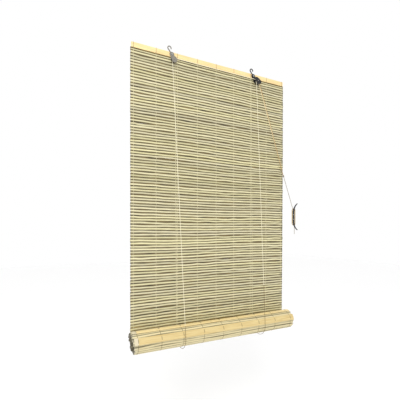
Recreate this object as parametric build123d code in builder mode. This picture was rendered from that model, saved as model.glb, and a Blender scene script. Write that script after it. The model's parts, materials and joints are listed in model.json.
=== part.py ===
from build123d import *
import math
import os

os.makedirs("parts", exist_ok=True)

# Bamboo roll up blind, half raised. Millimetres. X runs along the blind, the room
# is at -Y, the wall at +Y and Z is up. The origin is on the middle of the blind's
# width, in the plane of the mat, at the height of the two hooks' bearing crowns.

# Overall sizes
blind_width = 800.0
head_drop = 20.0              # hook crown to the top of the head slat
head_height = 21.0
head_thickness = 6.0
head_edge_round = 0.8
head_inset = 5.0              # each end of the slat falls short of the mat's sticks
hanging_drop = 1188.0         # head slat to the middle of the roll
wall_y = 10.0                 # face of the wall behind the blind

# Mat of split bamboo sticks
stick_pitch = 12.0
stick_gap = 2.8
stick_thickness = 2.4
stick_bevel = 1.8
slit_height = 1.96            # open height between two sticks
web_thickness = 0.8
warp_count = 9
warp_margin = 13.5            # edge of the mat to the first warp thread
thread_width = 1.1
thread_thickness = 0.6

# Roll at the foot
roll_radius = 44.4            # over the sticks of the outer turn
roll_turns = 2.5
turn_pitch = 5.2
turn_thickness = 3.0
turn_groove = 0.8
stick_shoulder = 0.14         # share of a rolled stick's width that slopes to its groove
sticks_per_turn = 24
roll_inset = 4.0              # each end of the roll falls short of the mat's width
roll_shift = -10.0            # the roll has worked its way along, past the mat's edge
wide_slat_width = 26.0
wide_slat_thickness = 2.0
wide_slat_seat = 0.1          # air between a wide slat and the turn below it
front_slat_angle = 26.0       # above the horizontal, as seen from the room
top_slat_angle = 88.0

# Hook plates
bracket_warp = {"left": 2, "right": 6}          # warp that each bracket stands beside
bracket_offset = {"left": -26.75, "right": 14.75}
plate_thickness = 2.5
plate_radius = 10.5
hook_offset = -11.0           # loop of the hook beside the middle of the plate
hook_inner_radius = 5.5
hook_strap = 4.0
hook_start_angle = -25.0      # mouth of the hook
hook_sweep = 245.0
stem_lean = 1.5
stem_bend = 2.0
bolt_radius = 2.0
bolt_head_radius = 4.0
bolt_head_height = 2.2
bolt_head_bevel = 0.8
bolt_clearance = 0.05
bolt_end = 1.0                # stands out past the nut
nut_radius = 4.4
nut_height = 3.2

# Pulleys
wheel_offset = {"left": 8.0, "right": 18.0}   # wheel's axis beside the bolt
wheel_names = {"left": ["left_wheel"], "right": ["right_wheel_back", "right_wheel_front"]}
wheel_drop = 13.0             # wheel's axis below the head slat
wheel_groove_radius = 6.0
wheel_flange_radius = 8.6
wheel_rim = 0.6
wheel_width = 5.6
wheel_side_clearance = 0.35
pin_radius = 1.5
pin_clearance = 0.05
pin_head_radius = 2.8
pin_head_height = 1.0
cheek_thickness = 1.5
cheek_radius = {"left": 13.0, "right": 11.0}
cheek_stretch = {"left": 0.0, "right": 9.0}     # half the length added to a round cheek
cheek_angle = -30.0           # slope of the long cheeks
bridge_width = 14.0
frame_eye_radius = 6.5        # round the bolt
bridge_clearance = 0.8

# Cords
cord_radius = 1.1
cord_clearance = 0.4          # between a cord and what moves past it
cord_end_gap = 0.3            # between two lengths of one cord on different bodies
sling_offset = {"left": 24.0, "right": 0.0}     # beside the bolt
anchor_offset = {"left": 16.0, "right": -10.0}
anchor_radius = 3.0
anchor_rise = 9.0             # above the foot of the head slat
knot_inset = 4.0              # knot stands inside the blind's edge
knot_off_mat = 7.0
knot_drop = 502.0             # below the hooks' crowns
strand_air = 0.1              # between the two strands at the knot
knot_radius = 2.9
knot_length = 9.0
knot_softness = 0.9

# Cleat on the wall
cleat_beside = 80.0           # blind's edge to the middle of the cleat
cleat_drop = 714.0
cleat_width = 12.0
cleat_thickness = 2.0
cleat_flat = 40.0             # stretch that lies on the wall
cleat_rise = 28.0             # horn tip out from the wall
cleat_reach = 49.0            # horn tip beyond the end of the flat
cleat_tip_width = 6.0
cleat_hole_radius = 2.1
cleat_hole_spacing = 24.0
winding_gap = 1.5             # side of the cleat to the first loop of cord
winding_reach = 19.5          # end of the flat to the first loop of cord
winding_step = 2.4            # from one loop of cord to the next
winding_start_angle = 143.0   # where the cord comes on to the last loop
winding_end_angle = -73.0     # where the tail leaves it
tail_length = 46.0

# Places that follow from the sizes
head_top = -head_drop
head_bottom = head_top - head_height
roll_z = head_bottom - hanging_drop
roll_end = roll_shift + roll_inset - blind_width / 2
roll_reach = roll_radius + wide_slat_seat + wide_slat_thickness
mat_face = stick_thickness / 2 + thread_thickness
roll_y = -(mat_face + cord_clearance + roll_reach)
row_count = round(hanging_drop / stick_pitch)
warp_pitch = (blind_width - 2 * warp_margin) / (warp_count - 1)
warp_places = [warp_margin - blind_width / 2 + warp_pitch * k for k in range(warp_count)]
plate_x = {side: warp_places[warp] + bracket_offset[side] for side, warp in bracket_warp.items()}
sling_x = {side: plate_x[side] + offset for side, offset in sling_offset.items()}
anchor_x = {side: plate_x[side] + offset for side, offset in anchor_offset.items()}
anchor_z = head_bottom + anchor_rise
wheel_z = head_bottom - wheel_drop
knot_point = (blind_width / 2 - knot_inset, -knot_off_mat, -knot_drop)
cleat_x = blind_width / 2 + cleat_beside
cleat_z = -cleat_drop
head_face = head_thickness / 2
cheek_back = -(head_face + plate_thickness)
wheel_slot = wheel_width + 2 * wheel_side_clearance
cord_turn_radius = wheel_groove_radius + cord_radius + cord_clearance


def cheek_gap(side):
    """Room between the two cheeks of a pulley frame."""
    return len(wheel_names[side]) * wheel_slot


def wheel_x(side):
    """Place of a pulley's axis along the blind."""
    return plate_x[side] + wheel_offset[side]


def cheek_ends(side):
    """Middles of the two round ends of a pulley's cheeks, one point on a round cheek."""
    lean = math.radians(cheek_angle)
    across = cheek_stretch[side] * math.cos(lean)
    along = cheek_stretch[side] * math.sin(lean)
    return [(wheel_x(side) + k * across, wheel_z + k * along) for k in (-1, 1)]


def wheel_y(index):
    """Middle plane of a wheel, counted from the back cheek."""
    return cheek_back - cheek_thickness - (index + 0.5) * wheel_slot


# Head slat: one wide flat bamboo slat with softened edges
with BuildPart() as head_slat:
    with BuildSketch(Plane.YZ.offset(head_inset - blind_width / 2)):
        with Locations((0, (head_top + head_bottom) / 2)):
            Rectangle(head_thickness, head_height)
    extrude(amount=blind_width - 2 * head_inset)
    fillet(head_slat.edges().filter_by(Axis.X), head_edge_round)
    for side_x in plate_x.values():
        with Locations(Plane((side_x, -head_face, (head_top + head_bottom) / 2), z_dir=(0, -1, 0))):
            Hole(bolt_radius + bolt_clearance, depth=head_thickness)
head_slat.part.label = "head_slat"
export_step(head_slat.part, "parts/head_slat.step")


def mat_side(face):
    """Corners of the mat's profile from top to bottom, face -1 for the room side."""
    points = []
    for row in range(row_count):
        top = head_bottom - row * stick_pitch
        low = top - stick_pitch
        points.append((face * web_thickness / 2, top - stick_gap / 2))
        points.append((face * stick_thickness / 2, top - stick_gap / 2 - stick_bevel))
        points.append((face * stick_thickness / 2, low + stick_gap / 2 + stick_bevel))
        points.append((face * web_thickness / 2, low + stick_gap / 2))
    return points


# Hanging mat: a wall of ridges, one a stick, with an open gap between each two
with BuildPart() as hanging_mat:
    with BuildSketch(Plane.YZ.offset(-blind_width / 2)):
        with BuildLine():
            Polyline(*mat_side(-1), *reversed(mat_side(1)), close=True)
        make_face()
    extrude(amount=blind_width)
    gap_places = [(0, 0, head_bottom - row * stick_pitch) for row in range(1, row_count)]
    with Locations(*gap_places):
        Box(blind_width - 2 * warp_margin, web_thickness * 2, slit_height, mode=Mode.SUBTRACT)
hanging_mat.part.label = "hanging_mat"
export_step(hanging_mat.part, "parts/hanging_mat.step")

# Warp threads: a run in front of the sticks and one behind them at each warp
thread_y = (stick_thickness + thread_thickness) / 2
with BuildPart() as warp_threads:
    thread_mid = head_bottom - hanging_drop / 2
    with Locations(*[(x, face * thread_y, thread_mid) for x in warp_places for face in (-1, 1)]):
        Box(thread_width, thread_thickness, hanging_drop - 2 * stick_gap)
warp_threads.part.label = "warp_threads"
export_step(warp_threads.part, "parts/warp_threads.step")

# Thread loops that bind the head slat to the mat
with BuildPart() as head_loops:
    with Locations(*[(x, 0, (head_top + head_bottom) / 2) for x in warp_places]):
        Box(thread_width, head_thickness + 2 * thread_thickness, head_height + 2 * thread_thickness)
        Box(thread_width, head_thickness, head_height, mode=Mode.SUBTRACT)
    with Locations(*[(x, 0, head_bottom - thread_thickness / 2) for x in warp_places]):
        Box(thread_width, web_thickness + thread_width, thread_thickness, mode=Mode.SUBTRACT)
head_loops.part.label = "head_loops"
export_step(head_loops.part, "parts/head_loops.step")


def spiral_point(step, inward):
    """Point of the roll's spiral after so many sticks, so far in from its outside."""
    turn = step / sticks_per_turn
    radius = roll_radius - turn_pitch * turn - inward
    angle = 2 * math.pi * turn
    return (roll_y + radius * math.cos(angle), roll_z + radius * math.sin(angle))


# Rolled mat: the turns of the roll, one stick a facet, as one spiral wall
stick_total = round(roll_turns * sticks_per_turn)
outer_points = []
for stick in range(stick_total):
    outer_points.append(spiral_point(stick, turn_groove))
    outer_points.append(spiral_point(stick + stick_shoulder, 0))
    outer_points.append(spiral_point(stick + 1 - stick_shoulder, 0))
outer_points.append(spiral_point(stick_total, turn_groove))
inner_points = [spiral_point(stick, turn_thickness) for stick in range(stick_total, -1, -1)]
with BuildPart() as rolled_mat:
    with BuildSketch(Plane.YZ.offset(roll_end)):
        with BuildLine():
            Polyline(*outer_points, *inner_points, close=True)
        make_face()
    extrude(amount=blind_width - 2 * roll_inset)
rolled_mat.part.label = "rolled_mat"
export_step(rolled_mat.part, "parts/rolled_mat.step")

# Wide slats tied on the outside of the roll, seated on its curve
wide_slats = {"front_wide_slat": front_slat_angle, "top_wide_slat": top_slat_angle}
for slat_name, slat_angle in wide_slats.items():
    seat = roll_radius + wide_slat_seat
    half_turn = math.degrees(wide_slat_width / 2 / seat)
    centre = 180 - slat_angle
    with BuildPart() as wide_slat:
        with BuildSketch(Plane.YZ.offset(roll_end)):
            with Locations((roll_y, roll_z)):
                Circle(roll_reach)
                Circle(seat, mode=Mode.SUBTRACT)
            with BuildLine():
                near = PolarLine((roll_y, roll_z), roll_reach * 2, centre - half_turn)
                far = PolarLine((roll_y, roll_z), roll_reach * 2, centre + half_turn)
                Line(near @ 1, far @ 1)
            make_face(mode=Mode.INTERSECT)
        extrude(amount=blind_width - 2 * roll_inset)
    wide_slat.part.label = slat_name
    export_step(wide_slat.part, "parts/" + slat_name + ".step")

# Hook plates: hook and plate are stamped from one sheet and bolted to the head slat
hook_radius = hook_inner_radius + hook_strap / 2
plate_z = (head_top + head_bottom) / 2
for side, side_x in plate_x.items():
    hook_centre = (side_x + hook_offset, -hook_inner_radius)
    stem_foot = (side_x - plate_radius / 2, plate_z + plate_radius / 2)
    with BuildPart() as hook_plate:
        with BuildSketch(Plane.XZ.offset(head_face)):
            with Locations((side_x, plate_z)):
                Circle(plate_radius)
            with BuildLine():
                loop = CenterArc(hook_centre, hook_radius, hook_start_angle, hook_sweep)
                stem_top = (side_x + hook_offset + stem_lean, head_top + stem_bend)
                FilletPolyline(loop @ 1, stem_top, stem_foot, radius=stem_bend)
            trace(line_width=hook_strap)
        extrude(amount=plate_thickness)
        with Locations(Plane((side_x, -head_face - plate_thickness, plate_z), z_dir=(0, -1, 0))):
            Hole(bolt_radius + bolt_clearance, depth=plate_thickness)
    hook_plate.part.label = side + "_hook_plate"
    export_step(hook_plate.part, "parts/" + side + "_hook_plate.step")

# Pulley frames: a strip folded over the wheels into two cheeks
for side in plate_x:
    axle = (wheel_x(side), wheel_z)
    bolt_point = (plate_x[side], plate_z)
    bridge_z = wheel_z + wheel_flange_radius + bridge_clearance + cheek_thickness / 2
    gap = cheek_gap(side)
    with BuildPart() as pulley_frame:
        with BuildSketch(Plane.XZ.offset(-cheek_back)):
            with BuildLine():
                Line(bolt_point, axle)
            trace(line_width=bridge_width)
            with Locations(bolt_point):
                Circle(frame_eye_radius)
            with Locations(*cheek_ends(side)):
                Circle(cheek_radius[side])
            make_hull(mode=Mode.ADD)
        extrude(amount=cheek_thickness)
        with BuildSketch(Plane.XZ.offset(-cheek_back + cheek_thickness + gap)):
            with Locations(*cheek_ends(side)):
                Circle(cheek_radius[side])
            make_hull(mode=Mode.ADD)
        extrude(amount=cheek_thickness)
        with Locations((axle[0], cheek_back - cheek_thickness - gap / 2, bridge_z)):
            Box(bridge_width, gap + 2 * cheek_thickness, cheek_thickness)
        with Locations(Plane((axle[0], cheek_back - 2 * cheek_thickness - gap, wheel_z), z_dir=(0, -1, 0))):
            Hole(pin_radius)
        with Locations(Plane((plate_x[side], cheek_back - cheek_thickness, plate_z), z_dir=(0, -1, 0))):
            Hole(bolt_radius + bolt_clearance, depth=cheek_thickness)
    pulley_frame.part.label = side + "_pulley_frame"
    export_step(pulley_frame.part, "parts/" + side + "_pulley_frame.step")

    # Pin of the wheels, riveted over at both ends
    pin_front = cheek_back - 2 * cheek_thickness - gap
    with BuildPart() as pulley_pin:
        with BuildSketch(Plane.XZ.offset(-cheek_back)):
            with Locations(axle):
                Circle(pin_radius)
        extrude(amount=2 * cheek_thickness + gap)
        for face_y, outward in ((-cheek_back, -1), (-pin_front, 1)):
            with BuildSketch(Plane.XZ.offset(face_y)):
                with Locations(axle):
                    Circle(pin_head_radius)
            extrude(amount=outward * pin_head_height)
    pulley_pin.part.label = side + "_pulley_pin"
    export_step(pulley_pin.part, "parts/" + side + "_pulley_pin.step")

    # Bolt through the frame, the plate and the head slat, with its nut behind
    bolt_front = cheek_back - cheek_thickness
    with BuildPart() as bracket_bolt:
        with BuildSketch(Plane.XZ.offset(-bolt_front)):
            with Locations(bolt_point):
                Circle(bolt_head_radius)
        extrude(amount=bolt_head_height)
        chamfer(bracket_bolt.faces().sort_by(Axis.Y)[0].edges(), bolt_head_bevel)
        with BuildSketch(Plane.XZ.offset(-bolt_front)):
            with Locations(bolt_point):
                Circle(bolt_radius)
        extrude(amount=-(head_face - bolt_front + nut_height + bolt_end))
    bracket_bolt.part.label = side + "_bracket_bolt"
    export_step(bracket_bolt.part, "parts/" + side + "_bracket_bolt.step")
    with BuildPart() as bracket_nut:
        with BuildSketch(Plane.XZ.offset(-head_face)):
            with Locations(bolt_point):
                RegularPolygon(nut_radius, 6)
                Circle(bolt_radius, mode=Mode.SUBTRACT)
        extrude(amount=-nut_height)
    bracket_nut.part.label = side + "_bracket_nut"
    export_step(bracket_nut.part, "parts/" + side + "_bracket_nut.step")

    # Grooved wheels
    for index, wheel_name in enumerate(wheel_names[side]):
        half = wheel_width / 2
        with BuildPart() as wheel:
            wheel_plane = Plane((axle[0], wheel_y(index), wheel_z), x_dir=(1, 0, 0), z_dir=(0, 0, 1))
            with BuildSketch(wheel_plane):
                with BuildLine():
                    Polyline(
                        (pin_radius + pin_clearance, -half), (wheel_flange_radius, -half),
                        (wheel_flange_radius, -half + wheel_rim), (wheel_groove_radius, -cord_radius),
                        (wheel_groove_radius, cord_radius), (wheel_flange_radius, half - wheel_rim),
                        (wheel_flange_radius, half), (pin_radius + pin_clearance, half), close=True)
                make_face()
            revolve(axis=Axis((axle[0], 0, wheel_z), (0, 1, 0)))
        wheel.part.label = wheel_name
        export_step(wheel.part, "parts/" + wheel_name + ".step")


print("cord radius", cord_radius, "and its turns over the wheels", cord_turn_radius)


def straight_cord(label, start, end):
    """A taut length of cord as a plain round bar between two points."""
    run = Vector(*end) - Vector(*start)
    with BuildPart() as cord:
        with BuildSketch(Plane(start, z_dir=run)):
            Circle(cord_radius)
        extrude(amount=run.length)
    cord.part.label = label
    export_step(cord.part, "parts/" + label + ".step")


def swept_cord(label, path, start, direction):
    """A cord along a path of straight runs and tangent arcs."""
    with BuildPart() as cord:
        with BuildSketch(Plane(start, z_dir=direction)):
            Circle(cord_radius)
        sweep(path=path)
    expected = math.pi * cord_radius ** 2 * path.length
    print(label, "length", round(path.length, 1), "volume share", round(cord.part.volume / expected, 4))
    cord.part.label = label
    export_step(cord.part, "parts/" + label + ".step")


# Lift cords: tied behind the head, down behind the mat, round under the roll and
# up in front to the wheels. The sling under the roll travels with it.
sling_back = mat_face + cord_clearance + cord_radius
sling_front = roll_y - roll_reach - cord_clearance - cord_radius
sling_radius = (sling_back - sling_front) / 2
sling_y = (sling_back + sling_front) / 2
anchor_y = head_face + anchor_radius
for side in plate_x:
    x = sling_x[side]
    with BuildLine() as sling_line:
        ThreePointArc((x, sling_back, roll_z), (x, sling_y, roll_z - sling_radius), (x, sling_front, roll_z))
    swept_cord(side + "_cord_sling", sling_line.wire(), (x, sling_back, roll_z), (0, 0, -1))
    straight_cord(side + "_cord_back", (x, sling_back, roll_z + cord_end_gap),
                  (anchor_x[side], anchor_y, anchor_z - anchor_radius))
    cord_plane = wheel_y(0 if side == "left" else 1)
    wheel_left = (wheel_x(side) - cord_turn_radius, cord_plane, wheel_z)
    straight_cord(side + "_cord_front", (x, sling_front, roll_z + cord_end_gap), wheel_left)
    with BuildPart() as cord_anchor:
        with Locations((anchor_x[side], anchor_y, anchor_z)):
            Sphere(anchor_radius)
    cord_anchor.part.label = side + "_cord_anchor"
    export_step(cord_anchor.part, "parts/" + side + "_cord_anchor.step")

# Over the wheels: the left cord crosses to the back wheel on the right
knot_top = Vector(*knot_point)
strand_turn = math.atan2(knot_point[0] - wheel_x("right") - cord_turn_radius, wheel_z - knot_point[2])
leave_x = wheel_x("right") + cord_turn_radius * math.cos(strand_turn)
leave_z = wheel_z + cord_turn_radius * math.sin(strand_turn)
middle = (math.pi / 2 + strand_turn) / 2
middle_x = wheel_x("right") + cord_turn_radius * math.cos(middle)
middle_z = wheel_z + cord_turn_radius * math.sin(middle)
top_z = wheel_z + cord_turn_radius
diagonal = cord_turn_radius * math.sqrt(0.5)
left_x = wheel_x("left")
right_x = wheel_x("right")
y_back = wheel_y(0)
y_front = wheel_y(1)
with BuildLine() as crossing_line:
    ThreePointArc((left_x - cord_turn_radius, y_back, wheel_z), (left_x - diagonal, y_back, wheel_z + diagonal),
                  (left_x, y_back, top_z))
    Line((left_x, y_back, top_z), (right_x, y_back, top_z))
    ThreePointArc((right_x, y_back, top_z), (middle_x, y_back, middle_z), (leave_x, y_back, leave_z))
swept_cord("crossing_cord", crossing_line.wire(), (left_x - cord_turn_radius, y_back, wheel_z), (0, 0, 1))
with BuildLine() as turn_line:
    ThreePointArc((right_x - cord_turn_radius, y_front, wheel_z), (right_x, y_front, top_z),
                  (leave_x, y_front, leave_z))
swept_cord("right_cord_turn", turn_line.wire(), (right_x - cord_turn_radius, y_front, wheel_z), (0, 0, 1))

# Pull cords: two strands down to the knot, then one cord to the cleat
strand_spread = cord_radius + strand_air
straight_cord("pull_strand_back", (leave_x, y_back, leave_z),
              (knot_point[0] + strand_spread, knot_point[1] + strand_spread, knot_point[2]))
straight_cord("pull_strand_front", (leave_x, y_front, leave_z),
              (knot_point[0] - strand_spread, knot_point[1] - strand_spread, knot_point[2]))
loop_wide = cleat_width / 2 + winding_gap + cord_radius
loop_long = cleat_flat / 2 + winding_reach + cord_radius
loop_off_wall = cord_radius + cord_clearance
winding_loops = (
    (loop_wide, loop_long, loop_off_wall),
    (loop_wide + winding_step, loop_long + winding_step, loop_off_wall),
    (loop_wide + winding_step / 2, loop_long + 2 * winding_step, loop_off_wall + winding_step))


def on_last_loop(angle, off_loop):
    """Point on the end curves of the last loop of cord, so far off it towards the room."""
    half_wide, half_long, off_wall = winding_loops[-1]
    rise = half_long - half_wide
    across = half_wide * math.cos(math.radians(angle))
    along = half_wide * math.sin(math.radians(angle))
    return (cleat_x + across, wall_y - off_wall - off_loop, cleat_z + math.copysign(rise, along) + along)


winding_top = on_last_loop(winding_start_angle, cord_radius)
knot_axis = (Vector(*winding_top) - knot_top).normalized()
knot_plane = Plane(knot_point, z_dir=knot_axis)
with BuildPart() as pull_knot:
    with BuildSketch(knot_plane):
        Circle(knot_radius)
    extrude(amount=knot_length)
    fillet(pull_knot.edges(), knot_softness)
pull_knot.part.label = "pull_knot"
export_step(pull_knot.part, "parts/pull_knot.step")
knot_foot = knot_top + knot_axis * knot_length
straight_cord("pull_cord", (knot_foot.X, knot_foot.Y, knot_foot.Z), winding_top)

# Cleat: a strap pressed to the wall in the middle, with a horn at each end
tip_y = wall_y - cleat_thickness / 2 - cleat_rise
with BuildPart() as cleat:
    with BuildSketch(Plane.YZ.offset(cleat_x - cleat_width / 2)):
        with BuildLine():
            middle_y = wall_y - cleat_thickness / 2
            flat = Line((middle_y, cleat_z - cleat_flat / 2), (middle_y, cleat_z + cleat_flat / 2))
            TangentArc(flat @ 1, (tip_y, cleat_z + cleat_flat / 2 + cleat_reach), tangent=(0, 1))
            TangentArc(flat @ 0, (tip_y, cleat_z - cleat_flat / 2 - cleat_reach), tangent=(0, -1))
        trace(line_width=cleat_thickness)
    extrude(amount=cleat_width)
    with BuildSketch(Plane.XZ.offset(-wall_y)):
        with BuildLine():
            half_length = cleat_flat / 2 + cleat_reach
            corners = [
                (cleat_x - cleat_width / 2, cleat_z - cleat_flat / 2),
                (cleat_x - cleat_width / 2, cleat_z + cleat_flat / 2),
                (cleat_x - cleat_tip_width / 2, cleat_z + half_length + cleat_thickness),
                (cleat_x + cleat_tip_width / 2, cleat_z + half_length + cleat_thickness),
                (cleat_x + cleat_width / 2, cleat_z + cleat_flat / 2),
                (cleat_x + cleat_width / 2, cleat_z - cleat_flat / 2),
                (cleat_x + cleat_tip_width / 2, cleat_z - half_length - cleat_thickness),
                (cleat_x - cleat_tip_width / 2, cleat_z - half_length - cleat_thickness)]
            Polyline(*corners, close=True)
        make_face()
    extrude(amount=cleat_rise + 2 * cleat_thickness, mode=Mode.INTERSECT)
    with Locations(Plane((cleat_x, wall_y - cleat_thickness, cleat_z), x_dir=(1, 0, 0), z_dir=(0, -1, 0))):
        with Locations((0, -cleat_hole_spacing / 2), (0, cleat_hole_spacing / 2)):
            Hole(cleat_hole_radius, depth=cleat_thickness)
cleat.part.label = "cleat"
export_step(cleat.part, "parts/cleat.step")

# Winding: the cord goes round behind the horns in long loops
with BuildPart() as cleat_winding:
    for half_wide, half_long, off_wall in winding_loops:
        loop_plane = Plane((cleat_x, wall_y - off_wall, cleat_z), x_dir=(1, 0, 0), z_dir=(0, -1, 0))
        straight = half_long - half_wide
        with BuildLine(loop_plane) as loop_line:
            Line((half_wide, -straight), (half_wide, straight))
            ThreePointArc((half_wide, straight), (0, half_long), (-half_wide, straight))
            Line((-half_wide, straight), (-half_wide, -straight))
            ThreePointArc((-half_wide, -straight), (0, -half_long), (half_wide, -straight))
        with BuildSketch(Plane((cleat_x + half_wide, wall_y - off_wall, cleat_z - straight), z_dir=(0, 0, 1))):
            Circle(cord_radius)
        sweep(path=loop_line.wire())
cleat_winding.part.label = "cleat_winding"
export_step(cleat_winding.part, "parts/cleat_winding.step")

tail_top = on_last_loop(winding_end_angle, cord_clearance)
straight_cord("cord_tail", tail_top, (tail_top[0], tail_top[1], tail_top[2] - tail_length))
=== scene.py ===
# %% [markdown]
# # A bamboo roll up blind, partly rolled up
# The blind hangs from two hooks. Its mat of split bamboo sticks is rolled up at the foot, and two
# cords run under the roll and over small pulleys to a cleat beside the blind. The solid model is
# loaded first, because every piece made here takes its place from it. Lengths are in metres.

# %% Load the frame
import json
import math
import bpy
import numpy as np
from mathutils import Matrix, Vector


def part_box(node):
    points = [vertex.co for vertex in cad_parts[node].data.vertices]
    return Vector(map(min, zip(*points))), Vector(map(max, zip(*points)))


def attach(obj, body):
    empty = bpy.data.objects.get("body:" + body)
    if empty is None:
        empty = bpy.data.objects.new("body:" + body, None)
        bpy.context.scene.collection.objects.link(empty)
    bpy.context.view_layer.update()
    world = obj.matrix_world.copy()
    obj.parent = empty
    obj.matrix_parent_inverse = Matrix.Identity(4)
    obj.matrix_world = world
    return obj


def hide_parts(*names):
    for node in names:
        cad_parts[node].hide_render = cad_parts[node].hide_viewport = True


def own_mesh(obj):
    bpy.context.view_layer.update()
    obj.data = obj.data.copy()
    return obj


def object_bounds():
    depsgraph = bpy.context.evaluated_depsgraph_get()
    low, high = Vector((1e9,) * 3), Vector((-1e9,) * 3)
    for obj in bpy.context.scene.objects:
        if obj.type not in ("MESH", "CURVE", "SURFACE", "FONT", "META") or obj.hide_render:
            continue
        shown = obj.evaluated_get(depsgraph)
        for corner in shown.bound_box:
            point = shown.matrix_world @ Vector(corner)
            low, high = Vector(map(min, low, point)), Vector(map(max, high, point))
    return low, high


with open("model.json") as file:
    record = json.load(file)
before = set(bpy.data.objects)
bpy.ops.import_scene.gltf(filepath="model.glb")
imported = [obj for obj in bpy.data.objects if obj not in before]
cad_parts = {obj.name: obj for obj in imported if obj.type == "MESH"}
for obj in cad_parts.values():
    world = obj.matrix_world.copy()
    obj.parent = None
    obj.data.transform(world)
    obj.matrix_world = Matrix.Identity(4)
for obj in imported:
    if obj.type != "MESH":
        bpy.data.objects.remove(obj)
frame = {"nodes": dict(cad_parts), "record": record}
nodes = frame["nodes"]
cad_box = [list(corner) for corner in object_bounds()]
print("nodes", len(nodes), "box", cad_box)

# %% [markdown]
# ## Camera
# The photograph was taken level, from the left and a little below the middle of the blind. The two
# sloping edges, of the head slat and of the roll, meet far to the right, and that fixes the turn.
# A level camera with its lens shifted up keeps the upright edges upright.

# %% Camera
IMAGE_WIDTH = 400
FOCAL_PIXELS = 317.8
HORIZON_BELOW_MIDDLE = 30.06
SENSOR_WIDTH = 36.0
CAMERA_PLACE = (-0.7300, -1.2739, -0.7838)
CAMERA_TURN = -26.946
camera_data = bpy.data.cameras.new("camera")
camera_data.sensor_width = SENSOR_WIDTH
camera_data.lens = SENSOR_WIDTH * FOCAL_PIXELS / IMAGE_WIDTH
camera_data.shift_y = HORIZON_BELOW_MIDDLE / IMAGE_WIDTH
camera = bpy.data.objects.new("camera", camera_data)
camera.location = CAMERA_PLACE
camera.rotation_euler = (math.radians(90), 0, math.radians(CAMERA_TURN))
bpy.context.scene.collection.objects.link(camera)
bpy.context.scene.camera = camera
print("camera lens", camera_data.lens)

# %% [markdown]
# ## Light and floor
# A white sky gives the even light of a studio. One wide lamp from the front and left gives the
# sticks their soft relief, and a pale floor lies well below the roll.

# %% Light and floor
WHITE = (1.0, 1.0, 1.0, 1.0)
SKY_STRENGTH = 1.0
LAMP_PLACE = (-1.6, -2.4, 1.2)
LAMP_TARGET = (0.0, 0.0, -0.7)
LAMP_WIDTH = 1.6
LAMP_WATTS = 45.0
FLOOR_DROP = 0.55
FLOOR_HALF = 9.0
world = bpy.data.worlds.new("studio")
world.use_nodes = True
world.node_tree.nodes["Background"].inputs["Color"].default_value = WHITE
world.node_tree.nodes["Background"].inputs["Strength"].default_value = SKY_STRENGTH
bpy.context.scene.world = world
bpy.context.scene.view_settings.view_transform = "Standard"


def soft_lamp(name, place, target, width, watts):
    """A square area lamp at place, turned to face target."""
    lamp_data = bpy.data.lights.new(name, "AREA")
    lamp_data.size = width
    lamp_data.energy = watts
    lamp = bpy.data.objects.new(name, lamp_data)
    lamp.location = place
    lamp.rotation_euler = (Vector(target) - Vector(place)).to_track_quat("-Z", "Y").to_euler()
    bpy.context.scene.collection.objects.link(lamp)


soft_lamp("key", LAMP_PLACE, LAMP_TARGET, LAMP_WIDTH, LAMP_WATTS)
floor_z = cad_box[0][2] - FLOOR_DROP
floor_corners = [(FLOOR_HALF * x, FLOOR_HALF * y, floor_z) for x, y in ((-1, -1), (1, -1), (1, 1), (-1, 1))]
floor_mesh = bpy.data.meshes.new("floor")
floor_mesh.from_pydata(floor_corners, [], [(0, 1, 2, 3)])
floor = bpy.data.objects.new("floor", floor_mesh)
bpy.context.scene.collection.objects.link(floor)
print("floor at", floor_z)

# %% [markdown]
# ## An effect that several finishes share
# Bamboo has long fibres along the stick. They are one node group, built once and given its own
# fineness in each material.

# %% Shared shader group
FIBRE_FINENESS = 900.0
FIBRE_STRETCH = 0.03
FIBRE_DETAIL = 3.0


def new_group(name, inputs, outputs):
    """A shader group with named sockets and nothing yet between them."""
    group = bpy.data.node_groups.new(name, "ShaderNodeTree")
    for label, kind, value in inputs:
        socket = group.interface.new_socket(label, in_out="INPUT", socket_type=kind)
        socket.default_value = value
    for label, kind in outputs:
        group.interface.new_socket(label, in_out="OUTPUT", socket_type=kind)
    group.nodes.new("NodeGroupInput").name = "in"
    group.nodes.new("NodeGroupOutput").name = "out"
    return group


def link(tree, source, output, target, socket):
    """Joins one node's output to another node's input, by their names."""
    tree.links.new(tree.nodes[source].outputs[output], tree.nodes[target].inputs[socket])


def add(tree, kind, name, **settings):
    """A named node with its settings."""
    node = tree.nodes.new(kind)
    node.name = name
    for key, value in settings.items():
        setattr(node, key, value)
    return node


def fibre_group():
    """Long fibres as a value: noise on Object coordinates, stretched along X."""
    inputs = [("Fineness", "NodeSocketFloat", FIBRE_FINENESS), ("Stretch", "NodeSocketFloat", FIBRE_STRETCH)]
    group = new_group("bamboo_fibre", inputs, [("Value", "NodeSocketFloat")])
    add(group, "ShaderNodeTexCoord", "place")
    add(group, "ShaderNodeCombineXYZ", "scale")
    add(group, "ShaderNodeVectorMath", "stretched", operation="MULTIPLY")
    add(group, "ShaderNodeMath", "along", operation="MULTIPLY")
    noise = add(group, "ShaderNodeTexNoise", "noise")
    noise.inputs["Scale"].default_value = 1.0
    noise.inputs["Detail"].default_value = FIBRE_DETAIL
    link(group, "in", "Fineness", "along", 0)
    link(group, "in", "Stretch", "along", 1)
    link(group, "along", 0, "scale", "X")
    link(group, "in", "Fineness", "scale", "Y")
    link(group, "in", "Fineness", "scale", "Z")
    link(group, "place", "Object", "stretched", 0)
    link(group, "scale", 0, "stretched", 1)
    link(group, "stretched", 0, "noise", "Vector")
    link(group, "noise", "Fac", "out", "Value")
    return group


FIBRE = fibre_group()
print("groups", [g.name for g in bpy.data.node_groups])

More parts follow.
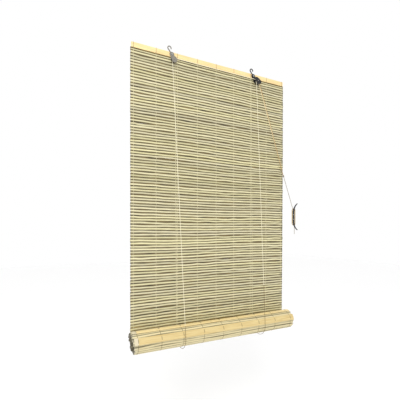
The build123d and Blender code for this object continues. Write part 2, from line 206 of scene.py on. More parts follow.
# %% [markdown]
# ## Finishes
# Each finish mixes two tones by a fine pattern: fibres for bamboo, a slanting twist for yarn and
# a cloudy noise for metal. Where a piece carries its own attribute, such as the tone of each
# stick, the bamboo multiplies that in. The left ends of the wide slats are bleached.

# %% Finishes
FIBRE_FROM = 0.35
FIBRE_TO = 0.62
FIBRE_BUMP = 0.25
FIBRE_HEIGHT = 0.0004
SLAT_FINENESS = 500.0
BLEACHED_LEFT_OF = -0.3905
BLEACH_FADE = 0.001
BLEACH = (0.68, 0.60, 0.42)
CLOUD_FINENESS = 260.0
CLOUD_DULLER = 0.15
CLOUD_GLOSSIER = 0.1
CLOUD_DARKER = 0.7
CLOUD_LIGHTER = 1.2
THREAD_TWIST = 140.0
CORD_TWIST = 90.0
TWIST_DISTORTION = 1.5
TWIST_BUMP = 0.4
TWIST_HEIGHT = 0.0003
YARN_ROUGHNESS = 0.85


def new_material(name):
    """A material with nodes, its node tree and its shader."""
    material = bpy.data.materials.new(name)
    material.use_nodes = True
    return material, material.node_tree, material.node_tree.nodes["Principled BSDF"]


def two_tones(tree, light, dark, source, output):
    """The colour between dark and light that another node's output picks."""
    mix = add(tree, "ShaderNodeMix", "tones", data_type="RGBA")
    mix.inputs["A"].default_value = (*dark, 1)
    mix.inputs["B"].default_value = (*light, 1)
    link(tree, source, output, "tones", "Factor")
    return mix.outputs["Result"]


def add_relief(tree, shader, source, output, strength, height):
    """A bump of the given height from another node's output."""
    relief = add(tree, "ShaderNodeBump", "relief")
    relief.inputs["Strength"].default_value = strength
    relief.inputs["Distance"].default_value = height
    link(tree, source, output, "relief", "Height")
    tree.links.new(relief.outputs["Normal"], shader.inputs["Normal"])


def times_attribute(tree, colour, attribute):
    """The colour times the piece's own attribute."""
    add(tree, "ShaderNodeAttribute", "own", attribute_name=attribute)
    times = add(tree, "ShaderNodeMix", "times", data_type="RGBA", blend_type="MULTIPLY")
    times.inputs["Factor"].default_value = 1.0
    tree.links.new(colour, times.inputs["A"])
    tree.links.new(tree.nodes["own"].outputs["Color"], times.inputs["B"])
    return times.outputs["Result"]


def bleach_left_end(tree, colour):
    """The colour, changed to the bleached one left of BLEACHED_LEFT_OF in Object coordinates."""
    add(tree, "ShaderNodeTexCoord", "own_place")
    add(tree, "ShaderNodeSeparateXYZ", "split")
    link(tree, "own_place", "Object", "split", "Vector")
    fade = add(tree, "ShaderNodeMapRange", "fade")
    fade.inputs["From Min"].default_value = BLEACHED_LEFT_OF + BLEACH_FADE
    fade.inputs["From Max"].default_value = BLEACHED_LEFT_OF - BLEACH_FADE
    link(tree, "split", "X", "fade", "Value")
    bleach = add(tree, "ShaderNodeMix", "bleach", data_type="RGBA")
    bleach.inputs["B"].default_value = (*BLEACH, 1)
    tree.links.new(colour, bleach.inputs["A"])
    link(tree, "fade", "Result", "bleach", "Factor")
    return bleach.outputs["Result"]


def bamboo(name, light, dark, roughness, fineness=FIBRE_FINENESS, attribute=None, bleached=False):
    """Two tones of bamboo mixed by fibre, times the piece's own tone where it has one."""
    material, tree, shader = new_material(name)
    group = add(tree, "ShaderNodeGroup", "fibre", node_tree=FIBRE)
    group.inputs["Fineness"].default_value = fineness
    ramp = add(tree, "ShaderNodeMapRange", "ramp")
    ramp.inputs["From Min"].default_value = FIBRE_FROM
    ramp.inputs["From Max"].default_value = FIBRE_TO
    link(tree, "fibre", "Value", "ramp", "Value")
    colour = two_tones(tree, light, dark, "ramp", "Result")
    if attribute:
        colour = times_attribute(tree, colour, attribute)
    if bleached:
        colour = bleach_left_end(tree, colour)
    tree.links.new(colour, shader.inputs["Base Color"])
    shader.inputs["Roughness"].default_value = roughness
    add_relief(tree, shader, "fibre", "Value", FIBRE_BUMP, FIBRE_HEIGHT)
    return material


def metal(name, colour, roughness, metallic):
    """Metal with a cloudy change of gloss and tone, from noise on Object coordinates."""
    material, tree, shader = new_material(name)
    add(tree, "ShaderNodeTexCoord", "place")
    noise = add(tree, "ShaderNodeTexNoise", "cloud")
    noise.inputs["Scale"].default_value = CLOUD_FINENESS
    link(tree, "place", "Object", "cloud", "Vector")
    gloss = add(tree, "ShaderNodeMapRange", "gloss")
    gloss.inputs["To Min"].default_value = roughness - CLOUD_GLOSSIER
    gloss.inputs["To Max"].default_value = roughness + CLOUD_DULLER
    link(tree, "cloud", "Fac", "gloss", "Value")
    tree.links.new(gloss.outputs["Result"], shader.inputs["Roughness"])
    dark = [channel * CLOUD_DARKER for channel in colour]
    light = [min(1.0, channel * CLOUD_LIGHTER) for channel in colour]
    tree.links.new(two_tones(tree, light, dark, "cloud", "Fac"), shader.inputs["Base Color"])
    shader.inputs["Metallic"].default_value = metallic
    return material


def thread(name, light, dark, twist=THREAD_TWIST):
    """Twisted yarn: a slanting wave on Object coordinates between two tones, and its bump."""
    material, tree, shader = new_material(name)
    add(tree, "ShaderNodeTexCoord", "place")
    wave = add(tree, "ShaderNodeTexWave", "twist", bands_direction="DIAGONAL")
    wave.inputs["Scale"].default_value = twist
    wave.inputs["Distortion"].default_value = TWIST_DISTORTION
    link(tree, "place", "Object", "twist", "Vector")
    tree.links.new(two_tones(tree, light, dark, "twist", "Fac"), shader.inputs["Base Color"])
    shader.inputs["Roughness"].default_value = YARN_ROUGHNESS
    add_relief(tree, shader, "twist", "Fac", TWIST_BUMP, TWIST_HEIGHT)
    return material


FINISH = {
    "head_slat_bamboo": bamboo("planed_bamboo", (0.88, 0.69, 0.34), (0.78, 0.56, 0.26), roughness=0.45,
                               fineness=SLAT_FINENESS),
    "wide_slat_bamboo": bamboo("wide_bamboo", (0.71, 0.57, 0.27), (0.60, 0.44, 0.18), roughness=0.5,
                               fineness=SLAT_FINENESS, bleached=True),
    "stick_bamboo": bamboo("split_bamboo", (0.72, 0.66, 0.41), (0.52, 0.47, 0.26), roughness=0.6,
                           attribute="tone"),
    "roll_bamboo": bamboo("rolled_bamboo", (0.75, 0.66, 0.39), (0.62, 0.52, 0.28), roughness=0.6,
                          attribute="tone"),
    "warp_thread": thread("warp_thread", (0.84, 0.78, 0.54), (0.64, 0.57, 0.34)),
    "cord": thread("cord", (0.97, 0.93, 0.72), (0.88, 0.80, 0.56), CORD_TWIST),
    "steel": metal("zinc_steel", (0.30, 0.28, 0.24), roughness=0.30, metallic=0.85),
    "gunmetal": metal("blackened_steel", (0.032, 0.032, 0.034), roughness=0.34, metallic=0.6),
    "wheel_metal": metal("pressed_wheel", (0.42, 0.42, 0.40), roughness=0.4, metallic=1.0),
    "cleat_metal": metal("cleat_steel", (0.05, 0.05, 0.055), roughness=0.4, metallic=0.6),
}
for entry in frame["record"]["subparts"]:
    node_mesh = nodes[entry["node"]].data
    node_mesh.materials.clear()
    node_mesh.materials.append(FINISH[entry["material_slot"]])
SHADED_THREAD = thread("shaded_thread", (0.30, 0.24, 0.13), (0.17, 0.13, 0.07))
# Painted light: the top wide slat gets a paler copy of the wide bamboo, against the shade that the mat
# behind casts on its upward face.
PAINTED_LIGHT_SLAT = bamboo("painted_light_wide_bamboo", (0.92, 0.76, 0.40), (0.80, 0.61, 0.28), roughness=0.5,
                   fineness=SLAT_FINENESS, bleached=True)
nodes["head_loops"].data.materials[0] = SHADED_THREAD
nodes["top_wide_slat"].data.materials[0] = PAINTED_LIGHT_SLAT
# Painted highlight: the bracket bolts get the lighter wheel metal, for the bright spot at the middle of each
# bracket.
for side_name in ("left", "right"):
    nodes[side_name + "_bracket_bolt"].data.materials[0] = FINISH["wheel_metal"]
FLOOR_WHITE = (0.99, 0.99, 0.99, 1)
floor_finish, _, floor_shader = new_material("floor_white")
floor_shader.inputs["Base Color"].default_value = FLOOR_WHITE
floor_mesh.materials.append(floor_finish)
print("finishes", len(FINISH))

# %% [markdown]
# ## Helpers for new pieces
# A piece is one grid of points, or many grids of the same size, put into a mesh at once. The faces
# of a grid are worked out as whole arrays, so a mat of a hundred sticks costs no loop over points.

# %% Mesh helpers


def grid_faces(count, rows, columns):
    """Quads of count closed tubes, each of rows rings with columns points."""
    row, column = np.meshgrid(np.arange(rows - 1), np.arange(columns), indexing="ij")
    following = (column + 1) % columns
    quad = np.stack([row * columns + column, row * columns + following,
                     (row + 1) * columns + following, (row + 1) * columns + column], axis=-1).reshape(-1, 4)
    return (np.arange(count)[:, None, None] * rows * columns + quad[None]).reshape(-1, 4)


def end_faces(count, rows, columns):
    """The two end caps of each tube, one polygon each."""
    first = np.arange(columns)[::-1]
    caps = np.stack([first, (rows - 1) * columns + np.arange(columns)])
    return (np.arange(count)[:, None, None] * rows * columns + caps[None]).reshape(-1, columns)


def make_piece(name, points, faces, body, slot, tone=None, smooth=True):
    """A mesh piece from points and face lists, riding on a body, with its finish and its tone."""
    mesh = bpy.data.meshes.new(name)
    face_lists = [list(map(int, face)) for group in faces for face in group]
    mesh.from_pydata(points.reshape(-1, 3).tolist(), [], face_lists)
    mesh.update()
    if tone is not None:
        colour = np.ones((len(mesh.vertices), 4))
        colour[:, :3] = tone.reshape(-1, 3)
        layer = mesh.color_attributes.new("tone", "FLOAT_COLOR", "POINT")
        layer.data.foreach_set("color", colour.ravel())
    mesh.polygons.foreach_set("use_smooth", np.full(len(mesh.polygons), smooth))
    mesh.materials.append(FINISH[slot])
    piece = bpy.data.objects.new(name, mesh)
    bpy.context.scene.collection.objects.link(piece)
    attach(piece, body)
    print(name, "points", len(mesh.vertices), "faces", len(mesh.polygons))
    return piece


# %% [markdown]
# ## Sticks
# The mat and the roll are made of the same kind of stick. Its outline is a rounded bar, it wavers
# along its length, and each stick has a tone of its own. The long edges are dark, because little
# light falls between two sticks. All chance values come from one seeded generator.

# %% Stick helpers
STICK_CORNERS = 10
FACE_POWER = 0.8
EDGE_POWER = 0.7
EDGE_STARTS = 0.5
NOISE_SPAN = 1.2
SPARE_KNOTS = 3
rng = np.random.default_rng(7)


def wander(count, x, length, amplitude):
    """Smooth noise along x for many sticks: random values every length metres, eased between.

    Between two values the share t of the way becomes 3 t^2 - 2 t^3.
    """
    knots = rng.normal(0, amplitude, (count, int(NOISE_SPAN / length) + SPARE_KNOTS))
    place = (x - x.min()) / length
    index = place.astype(int)
    part = place - index
    ease = part * part * (3 - 2 * part)
    return knots[:, index] * (1 - ease) + knots[:, index + 1] * ease


def stick_profile(height, thick):
    """A rounded bar: a super-ellipse of the given height and thickness, as (y, z) offsets."""
    angle = np.linspace(0, 2 * np.pi, STICK_CORNERS, endpoint=False) + np.pi / STICK_CORNERS
    y = np.sign(np.cos(angle)) * np.abs(np.cos(angle)) ** FACE_POWER * thick / 2
    z = np.sign(np.sin(angle)) * np.abs(np.sin(angle)) ** EDGE_POWER * height / 2
    return y, z


def stick_tones(count, spread, limits):
    """One random tone a stick: normal about 1, and no further from it than the limits."""
    return (1 + np.clip(rng.normal(0, spread, count), *limits))[:, None, None, None]


def edge_tones(profile_z, depth):
    """Tone round a stick: 1 on its face, falling by depth to its upper and lower edges."""
    edge = np.abs(profile_z) / profile_z.max()
    return (1 - depth * np.clip((edge - EDGE_STARTS) / (1 - EDGE_STARTS), 0, 1))[None, None, :, None]


# %% [markdown]
# ## The hanging mat
# Each stick is a thin split of bamboo, rounded on its faces, a little wavy, and held at nine
# warps. Between the warps it may sag or bow, which opens dark slits of uneven width. A stick is a
# closed outline carried along X, and its ends are ragged. The whole mat swells a little in places,
# and its right edge draws in towards the roll.

# %% Hanging mat
mat_low, mat_high = (np.array(corner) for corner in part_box("hanging_mat"))
thread_low, thread_high = (np.array(corner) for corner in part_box("warp_threads"))
HEAD_BOTTOM = -0.041
PITCH = 0.012
WARPS = 9
SOLID_THREAD_HALF = 0.00055
SWELL = 0.0022
SWELL_ACROSS = 8
SWELL_DOWN = 9
DRAWN_IN = 0.008
rows = int(round((HEAD_BOTTOM - mat_low[2]) / PITCH))
warp_x = np.linspace(thread_low[0] + SOLID_THREAD_HALF, thread_high[0] - SOLID_THREAD_HALF, WARPS)


def settle(places):
    """Hang of the whole mat, s being the depth from 0 at the head to 1 at the roll.

    Heights swell by SWELL sin(pi s) sin(SWELL_ACROSS x + SWELL_DOWN s). To the right of the middle
    the mat draws in by DRAWN_IN s^2 r^2, r being the share of the way to its right edge.
    """
    depth = np.clip((HEAD_BOTTOM - places[..., 2]) / (HEAD_BOTTOM - mat_low[2]), 0, 1)
    share_right = np.clip(places[..., 0] / mat_high[0], 0, 1)
    waves = np.sin(SWELL_ACROSS * places[..., 0] + SWELL_DOWN * depth)
    places[..., 2] += SWELL * np.sin(np.pi * depth) * waves
    places[..., 0] -= DRAWN_IN * depth ** 2 * share_right ** 2


STICK_HEIGHT = 0.0094
STICK_THICKNESS = 0.0024
MAT_STEPS = 81
FIRST_STICK_DROP = 0.0016
FIRST_STICK_SHARE = 0.7
HELD = 0.75
HELD_WIDTH = 0.018
BOW = {"length": 0.16, "amplitude": 0.0011}
RIPPLE = {"length": 0.05, "amplitude": 0.0004}
TAPER = {"length": 0.2, "amplitude": 0.05}
RAGGED = 0.0035
along = np.linspace(mat_low[0], mat_high[0], MAT_STEPS)
profile_y, profile_z = stick_profile(STICK_HEIGHT, STICK_THICKNESS)
middle_z = HEAD_BOTTOM - (np.arange(rows) + 0.5) * PITCH
middle_z[0] -= FIRST_STICK_DROP
held = 1 - HELD * np.exp(-((along[:, None] - warp_x) / HELD_WIDTH) ** 2).max(axis=1)
rise = wander(rows, along, **BOW) * held + wander(rows, along, **RIPPLE)
scale = 1 + wander(rows, along, **TAPER)
scale[0] = FIRST_STICK_SHARE
ragged = rng.uniform(0, RAGGED, (rows, 2))
stick_length = mat_high[0] - mat_low[0] - ragged.sum(axis=1, keepdims=True)
reach = (mat_low[0] + ragged[:, :1]) + stick_length * np.linspace(0, 1, MAT_STEPS)
points = np.empty((rows, MAT_STEPS, STICK_CORNERS, 3))
points[..., 0] = reach[..., None]
points[..., 1] = profile_y
points[..., 2] = (middle_z[:, None] + rise)[..., None] + profile_z * scale[..., None]
settle(points)

# %% [markdown]
# The mat is painted lighter towards its foot: painted light against the shade low on the mat and
# above the roll. Each stick has its own tone, and some are a little yellower or greyer than others.
# About a quarter of the sticks are in shade beyond the last warp.

# %% Tones of the mat
FOOT_STARTS = 0.93
TONE_AT_HEAD = 0.97
TONE_ABOVE_FOOT = 1.07
TONE_AT_FOOT = 1.25
ROW_SPREAD = 0.09
ROW_LIMITS = (-0.2, 0.12)
MAT_EDGE_DEPTH = 0.92
HUE_SPREAD = 0.03
HUE_LIMIT = 0.06
YELLOWER = np.array([0.1, 0.1, -1.2])
LAST_WARP = 0.387
SHADED_SHARE = 0.25
SHADED_TONE = 0.6
MAT_TONE_LIMITS = (0.05, 1.35)
tone = np.ones(points.shape)
# Painted light: the tone rises from head to foot, most steeply in the last rows above the roll.
painted_light_downwards = np.interp(np.arange(rows) / rows, [0, FOOT_STARTS, 1], [TONE_AT_HEAD, TONE_ABOVE_FOOT, TONE_AT_FOOT])
tone *= painted_light_downwards[:, None, None, None] * stick_tones(rows, ROW_SPREAD, ROW_LIMITS)
tone *= edge_tones(profile_z, MAT_EDGE_DEPTH)
hue = np.clip(rng.normal(0, HUE_SPREAD, (rows, 1, 1, 1)), -HUE_LIMIT, HUE_LIMIT)
tone *= 1 + hue * YELLOWER
tone[np.ix_(rng.random(rows) < SHADED_SHARE, along > LAST_WARP)] *= SHADED_TONE
tone = np.clip(tone, *MAT_TONE_LIMITS)
faces = [grid_faces(rows, MAT_STEPS, STICK_CORNERS), end_faces(rows, MAT_STEPS, STICK_CORNERS)]
mat = make_piece("stick_mat", points, faces, "head", "stick_bamboo", tone)
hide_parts("hanging_mat")

# %% [markdown]
# Behind each slit the flank of the next split shows, in deep shade. A narrow dark strip stands for
# it, so the slits read dark from the room as they do on the real mat. Where a cord runs down
# behind the mat, the strip is as pale as the cord, with a clean edge on both sides of it.

# %% Shaded flanks behind the slits
SLING_X = {"left": -0.196, "right": 0.208}
ANCHOR_X = {"left": -0.204, "right": 0.198}
STRIP_HALF = 0.0037
STRIP_FRONT = -0.0002
STRIP_BACK = 0.0004
STRIP_INSET = 0.001
STRIP_STEPS = 30
STRIP_CORNERS = 4
FIRST_STRIP_DROP = 0.0030
CORD_HALF = 0.0012
CORD_EDGE = 0.0002
SHADE_SPREAD = 0.35
SHADE_LIMITS = (0.3, 1.7)
SHADE = np.array([0.19, 0.145, 0.08])
FOOT_BRIGHTER = 2.5
CORD_BEHIND = (1.3, 1.3, 1.4)
strip_z = HEAD_BOTTOM - np.arange(rows) * PITCH
strip_z[0] -= FIRST_STRIP_DROP
strip_y = np.array([STRIP_FRONT, STRIP_BACK, STRIP_BACK, STRIP_FRONT])
strip_height = np.array([STRIP_HALF, STRIP_HALF, -STRIP_HALF, -STRIP_HALF])
sunk = (HEAD_BOTTOM - strip_z) / (HEAD_BOTTOM - mat_low[2])
cord_sides = np.array([-CORD_HALF, CORD_EDGE - CORD_HALF, CORD_HALF - CORD_EDGE, CORD_HALF])
behind = [(ANCHOR_X[side] + (SLING_X[side] - ANCHOR_X[side]) * sunk)[:, None] for side in ("left", "right")]
evenly = np.tile(np.linspace(mat_low[0] + STRIP_INSET, mat_high[0] - STRIP_INSET, STRIP_STEPS), (rows, 1))
strip_x = np.sort(np.concatenate([evenly, *(middle + cord_sides for middle in behind)], axis=1), axis=1)
off_cord = np.minimum(*[np.abs(strip_x - middle) for middle in behind])
points = np.empty((*strip_x.shape, STRIP_CORNERS, 3))
points[..., 0] = strip_x[..., None]
points[..., 1] = strip_y
points[..., 2] = strip_z[:, None, None] + strip_height
settle(points)
shade = np.clip(rng.normal(1, SHADE_SPREAD, strip_x.shape), *SHADE_LIMITS)[..., None] * SHADE
# Near the foot the painted shade of the strips is lighter, along with the painted light of the sticks.
shade *= (1 + FOOT_BRIGHTER * np.clip((sunk - FOOT_STARTS) / (1 - FOOT_STARTS), 0, 1))[:, None, None]
shade[off_cord < CORD_HALF - CORD_EDGE / 2] = CORD_BEHIND
tone = np.repeat(shade[:, :, None], STRIP_CORNERS, axis=2)
strip_rings = strip_x.shape[1]
faces = [grid_faces(rows, strip_rings, STRIP_CORNERS), end_faces(rows, strip_rings, STRIP_CORNERS)]
flanks = make_piece("stick_flanks", points, faces, "head", "stick_bamboo", tone, smooth=False)

# %% [markdown]
# ## Warp threads
# A pair of threads at each warp passes in front of one stick and behind the next. Each is a round
# tube whose line sways to and fro once every two sticks.

# %% Warp threads
THREAD_SIDES = 6
THREAD_RADIUS = 0.00065
THREAD_STEPS_A_ROW = 4
THREAD_SHORT = 0.002
PAIR_HALF = 0.0007
SWAY = 0.00125
SWAY_STARTS = 0.3


def tubes(lines, radius):
    """Round tubes along upright lines: count by steps points, each with a ring of corners."""
    angle = np.linspace(0, 2 * np.pi, THREAD_SIDES, endpoint=False)
    ring = np.stack([np.cos(angle), np.sin(angle), np.zeros(THREAD_SIDES)], axis=-1) * radius
    return lines[:, :, None, :] + ring


steps = rows * THREAD_STEPS_A_ROW + 1
down = np.linspace(HEAD_BOTTOM, mat_low[2] + THREAD_SHORT, steps)
lines = np.empty((WARPS * 2, steps, 3))
for pair, side in enumerate((-1, 1)):
    part = slice(pair * WARPS, (pair + 1) * WARPS)
    lines[part, :, 0] = warp_x[:, None] + side * PAIR_HALF
    lines[part, :, 1] = side * SWAY * np.cos(np.pi * (HEAD_BOTTOM - down) / PITCH + SWAY_STARTS)[None]
    lines[part, :, 2] = down[None]
settle(lines)
points = tubes(lines, THREAD_RADIUS)
faces = [grid_faces(WARPS * 2, steps, THREAD_SIDES), end_faces(WARPS * 2, steps, THREAD_SIDES)]
warps = make_piece("warps", points, [group[:, ::-1] for group in faces], "head", "warp_thread")
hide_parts("warp_threads")

# %% [markdown]
# ## The roll
# The rolled part of the mat is a spiral of the same sticks. Each stick lies along the roll, turned
# to face outwards, so the ends show the spiral of split ends. At the left end the upper sticks stand
# out and the lower ones stand back.

# %% Roll
roll_low, roll_high = (np.array(corner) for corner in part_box("rolled_mat"))
ROLL_CENTRE_Y = -0.0487
ROLL_CENTRE_Z = -1.229
ROLL_RADIUS = 0.0444
TURN_PITCH = 0.0052
STICKS_PER_TURN = 24
ROLL_STICKS = 60
ROLL_STICK_HEIGHT = 0.0108
ROLL_STICK_THICKNESS = 0.0026
ROLL_STEPS = 41
END_RIM = 0.0006
LEAN = 0.005
ROLL_SWAY = {"length": 0.12, "amplitude": 0.0012}
ROLL_SHIFT = 0.0025
RIGHT_PROUD = 0.002
number = np.arange(ROLL_STICKS)
angle = 2 * np.pi * number / STICKS_PER_TURN + np.pi / STICKS_PER_TURN
radius = ROLL_RADIUS - TURN_PITCH * number / STICKS_PER_TURN - ROLL_STICK_THICKNESS / 2
between = np.linspace(roll_low[0] + END_RIM, roll_high[0] - END_RIM, ROLL_STEPS)
along = np.concatenate([[roll_low[0]], between, [roll_high[0]]])
profile_y, profile_z = stick_profile(ROLL_STICK_HEIGHT, ROLL_STICK_THICKNESS)
sway = wander(ROLL_STICKS, along, **ROLL_SWAY)
shift = rng.uniform(-ROLL_SHIFT, ROLL_SHIFT, ROLL_STICKS)
across = profile_z[None, None, :] + sway[..., None]
outward = radius[:, None, None] + profile_y[None, None, :] + 0 * across
cosine = np.cos(angle)[:, None, None]
sine = np.sin(angle)[:, None, None]
lean = LEAN * np.sin(angle)[:, None] * (1 - (along - along[0]) / (along[-1] - along[0]))
points = np.empty((*across.shape, 3))
points[..., 0] = along[None, :, None] + shift[:, None, None] - lean[..., None]
points[..., 0] = np.clip(points[..., 0], roll_low[0] - LEAN, roll_high[0] + RIGHT_PROUD)
points[..., 1] = ROLL_CENTRE_Y + outward * cosine - across * sine
points[..., 2] = ROLL_CENTRE_Z + outward * sine + across * cosine

# %% [markdown]
# Each stick of the roll has its own tone. The inner faces are in shade, the left end is bleached,
# and the cut ends are lighter or darker from stick to stick.

# %% Tones of the roll
ROLL_SPREAD = 0.10
ROLL_LIMITS = (-0.25, 0.12)
ROLL_EDGE_DEPTH = 0.68
INNER_TONE = 0.35
BLEACHED_TONE = np.array([0.98, 1.02, 1.22])
END_TONES = (0.3, 1.0)
END_HUE = np.array([0.95, 0.97, 1.2])
ROLL_TONE_LIMITS = (0.05, 1.2)
tone = np.ones(points.shape)
tone *= stick_tones(ROLL_STICKS, ROLL_SPREAD, ROLL_LIMITS)
tone *= edge_tones(profile_z, ROLL_EDGE_DEPTH)
tone[:, :, profile_y < 0] *= INNER_TONE
tone[:, along < BLEACHED_LEFT_OF] *= BLEACHED_TONE
tone[:, [0, -1]] *= (rng.uniform(*END_TONES, ROLL_STICKS)[:, None] * END_HUE)[:, None, None, :]
tone = np.clip(tone, *ROLL_TONE_LIMITS)
rings = len(along)
faces = [grid_faces(ROLL_STICKS, rings, STICK_CORNERS), end_faces(ROLL_STICKS, rings, STICK_CORNERS)]
roll = make_piece("stick_roll", points, [group[:, ::-1] for group in faces], "roll", "roll_bamboo", tone)
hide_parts("rolled_mat")

# %% [markdown]
# One thread goes round the roll at each warp. It follows the spiral of the outer turn and rises
# over the two wide slats. The warps lie a little closer together in the roll than in the mat, and
# further to the left, as the roll does.

# %% Threads round the roll
RING_STEPS = 73
RING_SIDES = 6
RING_AIR = 0.0001
RING_HALF_DEPTH = 0.0005
RING_HALF_WIDTH = 0.0010
RING_SPACING = 0.978
RING_SHIFT = -0.0125
SLAT_ANGLES = (92.0, 154.0)
SLAT_HALF_ANGLE = 17.0
SLAT_SQUARENESS = 8
SLAT_PROUD = 0.0026
around = np.linspace(0, 2 * np.pi, RING_STEPS)
ring_radius = ROLL_RADIUS + RING_AIR - TURN_PITCH * around / (2 * np.pi)
off_slats = [(np.degrees(around) - middle) / SLAT_HALF_ANGLE for middle in SLAT_ANGLES]
over_slats = sum(np.exp(-off_slat ** SLAT_SQUARENESS) for off_slat in off_slats)
ring_radius = np.maximum(ring_radius, (ROLL_RADIUS + SLAT_PROUD) * over_slats)
corner = np.linspace(0, 2 * np.pi, RING_SIDES, endpoint=False)
ring_x = warp_x * RING_SPACING + RING_SHIFT
reach_out = ring_radius[None, :, None] + RING_HALF_DEPTH * np.cos(corner)[None, None]
points = np.empty((WARPS, RING_STEPS, RING_SIDES, 3))
points[..., 0] = ring_x[:, None, None] + RING_HALF_WIDTH * np.sin(corner)[None, None]
points[..., 1] = ROLL_CENTRE_Y + reach_out * np.cos(around)[None, :, None]
points[..., 2] = ROLL_CENTRE_Z + reach_out * np.sin(around)[None, :, None]
faces = [grid_faces(WARPS, RING_STEPS, RING_SIDES)]
roll_threads = make_piece("roll_threads", points, faces, "roll", "warp_thread")
roll_threads.data.materials[0] = SHADED_THREAD

# %% [markdown]
# ## Lift cords
# The cords are laid up from three strands. The lengths in front of and behind the mat shorten as
# the roll rises, so they are separate pieces from the slings that travel with it. The cords are
# cream where they hang. At the front they are painted brown near the roll, and so are the slings:
# painted shade, where the cord shows dark against the bright roll.

# %% Lift cords
CORD_RADIUS = 0.0011
STRANDS = 3
STRAND_SHARE = 0.52
STRAND_SIDES = 5
LAY = 0.009
RUN_STEP = 0.003
SLING_STEPS = 60
# Painted shade: a brown copy of the cord finish, for cord seen dark against the bright roll.
SHADED_CORD_BROWN = thread("shaded_brown_strand", (0.28, 0.20, 0.09), (0.15, 0.10, 0.05), CORD_TWIST)
SIDEWAYS = np.array([1.0, 0.0, 0.0])
FORWARDS = np.array([0.0, 1.0, 0.0])


def laid_cord(name, line, body, replaced, guide):
    """Three strands wound round a line: each strand's centre turns once every LAY metres.

    The guide is a direction that the line never runs along. The strands' angles start from it.
    """
    step = np.diff(line, axis=0)
    travel = np.concatenate([[0], np.cumsum(np.linalg.norm(step, axis=1))])
    tangent = np.gradient(line, travel, axis=0)
    tangent /= np.linalg.norm(tangent, axis=1, keepdims=True)
    side = np.cross(tangent, guide)
    side /= np.linalg.norm(side, axis=1, keepdims=True)
    over = np.cross(side, tangent)
    strand_radius = CORD_RADIUS * STRAND_SHARE
    turn = 2 * np.pi * travel / LAY
    corner = np.linspace(0, 2 * np.pi, STRAND_SIDES, endpoint=False)
    ring = np.cos(corner)[None, :, None] * side[:, None] + np.sin(corner)[None, :, None] * over[:, None]
    strands = []
    for strand in range(STRANDS):
        phase = turn + strand * 2 * np.pi / STRANDS
        off_centre = np.cos(phase)[:, None] * side + np.sin(phase)[:, None] * over
        centre = line + (CORD_RADIUS - strand_radius) * off_centre
        strands.append(centre[:, None] + strand_radius * ring)
    rings = len(line)
    faces = [grid_faces(STRANDS, rings, STRAND_SIDES), end_faces(STRANDS, rings, STRAND_SIDES)]
    piece = make_piece(name, np.stack(strands), faces, body, "cord")
    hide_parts(replaced)
    return piece


def straight(start, end):
    """Evenly spaced points between two places, about RUN_STEP apart."""
    start = np.array(start, float)
    end = np.array(end, float)
    count = int(np.linalg.norm(end - start) / RUN_STEP) + 2
    return start + (end - start) * np.linspace(0, 1, count)[:, None]


def shorten(piece):
    """Gives the piece a mesh of its own."""
    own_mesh(piece)


ANCHOR_FOOT = -0.035
BACK_PLANE = 0.006
WHEEL_X = {"left": -0.212, "right": 0.226}
WHEEL_Z = -0.054
CORD_PLANE = {"left": -0.01015, "right": -0.01645}
TURN_RADIUS = 0.0075
SHADED_BELOW = {"left": -1.175, "right": -1.040}
for side_name in ("left", "right"):
    sling_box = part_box(side_name + "_cord_sling")
    back = sling_box[1][1] - CORD_RADIUS
    front = sling_box[0][1] + CORD_RADIUS
    x = SLING_X[side_name]
    leaves_wheel = (WHEEL_X[side_name] - TURN_RADIUS, CORD_PLANE[side_name], WHEEL_Z)
    run = straight(leaves_wheel, (x, front, ROLL_CENTRE_Z))
    piece = laid_cord(side_name + "_front_run", run, "head", side_name + "_cord_front", SIDEWAYS)
    # Painted shade: the faces low on the front run, in front of the roll, get the dark brown finish.
    piece.data.materials.append(SHADED_CORD_BROWN)
    for face in piece.data.polygons:
        face.material_index = int(face.center.z < SHADED_BELOW[side_name])
    shorten(piece)
    run = straight((ANCHOR_X[side_name], BACK_PLANE, ANCHOR_FOOT), (x, back, ROLL_CENTRE_Z))
    piece = laid_cord(side_name + "_back_run", run, "head", side_name + "_cord_back", FORWARDS)
    shorten(piece)
    bend = np.linspace(0, -np.pi, SLING_STEPS)
    half = (back - front) / 2
    sling_y = (back + front) / 2 + half * np.cos(bend)
    sling = np.stack([np.full(SLING_STEPS, x), sling_y, ROLL_CENTRE_Z + half * np.sin(bend)], axis=-1)
    piece = laid_cord(side_name + "_sling", sling, "cord_slings", side_name + "_cord_sling", SIDEWAYS)
    # Painted shade: the slings get the same dark brown finish.
    piece.data.materials[0] = SHADED_CORD_BROWN

# %% [markdown]
# The mat, its warps and the shaded strips get meshes of their own in the same way.

# %% Own meshes for the mat
for piece in (mat, flanks, warps):
    shorten(piece)

# %% [markdown]
# ## Pull cords
# Both lift cords leave the right pulley, run side by side to a knot, and go on as one cord to the
# cleat. They are pulled tight, so each is a straight curve with a round bevel. Their tones differ:
# one strand is straw and the other amber, the knot, the single cord and its tail are grey, and the
# cord on the cleat is tan.

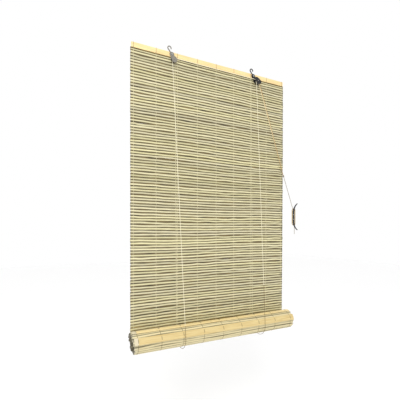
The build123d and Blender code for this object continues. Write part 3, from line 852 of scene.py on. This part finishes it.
# %% Pull cords
AMBER = thread("amber_strand", (0.60, 0.40, 0.16), (0.34, 0.20, 0.08), CORD_TWIST)
STRAW = thread("straw_strand", (0.98, 0.88, 0.58), (0.92, 0.76, 0.44), CORD_TWIST)
TAN = thread("tan_cord", (0.62, 0.50, 0.29), (0.40, 0.30, 0.15), CORD_TWIST)
GREY = thread("grey_cord", (0.30, 0.24, 0.14), (0.18, 0.14, 0.08), CORD_TWIST)
BEVEL_RESOLUTION = 2
HIGHEST_ORDER = 3


def free_cord(name, route, replaced, finish):
    """A cord of one open spline through the route."""
    curve = bpy.data.curves.new(name, "CURVE")
    curve.dimensions = "3D"
    curve.bevel_depth = CORD_RADIUS
    curve.bevel_resolution = BEVEL_RESOLUTION
    curve.use_fill_caps = True
    spline = curve.splines.new("NURBS")
    spline.points.add(len(route) - 1)
    for point, place in zip(spline.points, route):
        point.co = (*place, 1)
    spline.order_u = min(HIGHEST_ORDER, len(route))
    spline.use_endpoint_u = True
    curve.materials.append(finish)
    piece = bpy.data.objects.new(name, curve)
    bpy.context.scene.collection.objects.link(piece)
    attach(piece, "head")
    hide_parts(replaced)


KNOT = Vector((0.396, -0.007, -0.502))
KNOT_LENGTH = 0.009
SPREAD = 0.0012
WINDING_TOP = Vector((0.47217, 0.005, -0.6725))
TAIL = [tuple(Vector((0.48287, 0.0057, -0.75897))), (0.48287, 0.0057, -0.78197), (0.48287, 0.0057, -0.80497)]
knot_foot = KNOT + (WINDING_TOP - KNOT).normalized() * KNOT_LENGTH
strand_turn = math.atan2(KNOT.x - WHEEL_X["right"] - TURN_RADIUS, WHEEL_Z - KNOT.z)
leave_x = WHEEL_X["right"] + TURN_RADIUS * math.cos(strand_turn)
leave_z = WHEEL_Z + TURN_RADIUS * math.sin(strand_turn)
back_route = [(leave_x, CORD_PLANE["left"], leave_z), (KNOT.x + SPREAD, KNOT.y + SPREAD, KNOT.z)]
front_route = [(leave_x, CORD_PLANE["right"], leave_z), (KNOT.x - SPREAD, KNOT.y - SPREAD, KNOT.z)]
nodes["pull_knot"].data.materials[0] = GREY
nodes["cleat_winding"].data.materials[0] = TAN
free_cord("strand_back", back_route, "pull_strand_back", STRAW)
free_cord("strand_front", front_route, "pull_strand_front", AMBER)
free_cord("single_cord", [tuple(knot_foot), tuple(WINDING_TOP)], "pull_cord", GREY)
free_cord("tail", TAIL, "cord_tail", GREY)
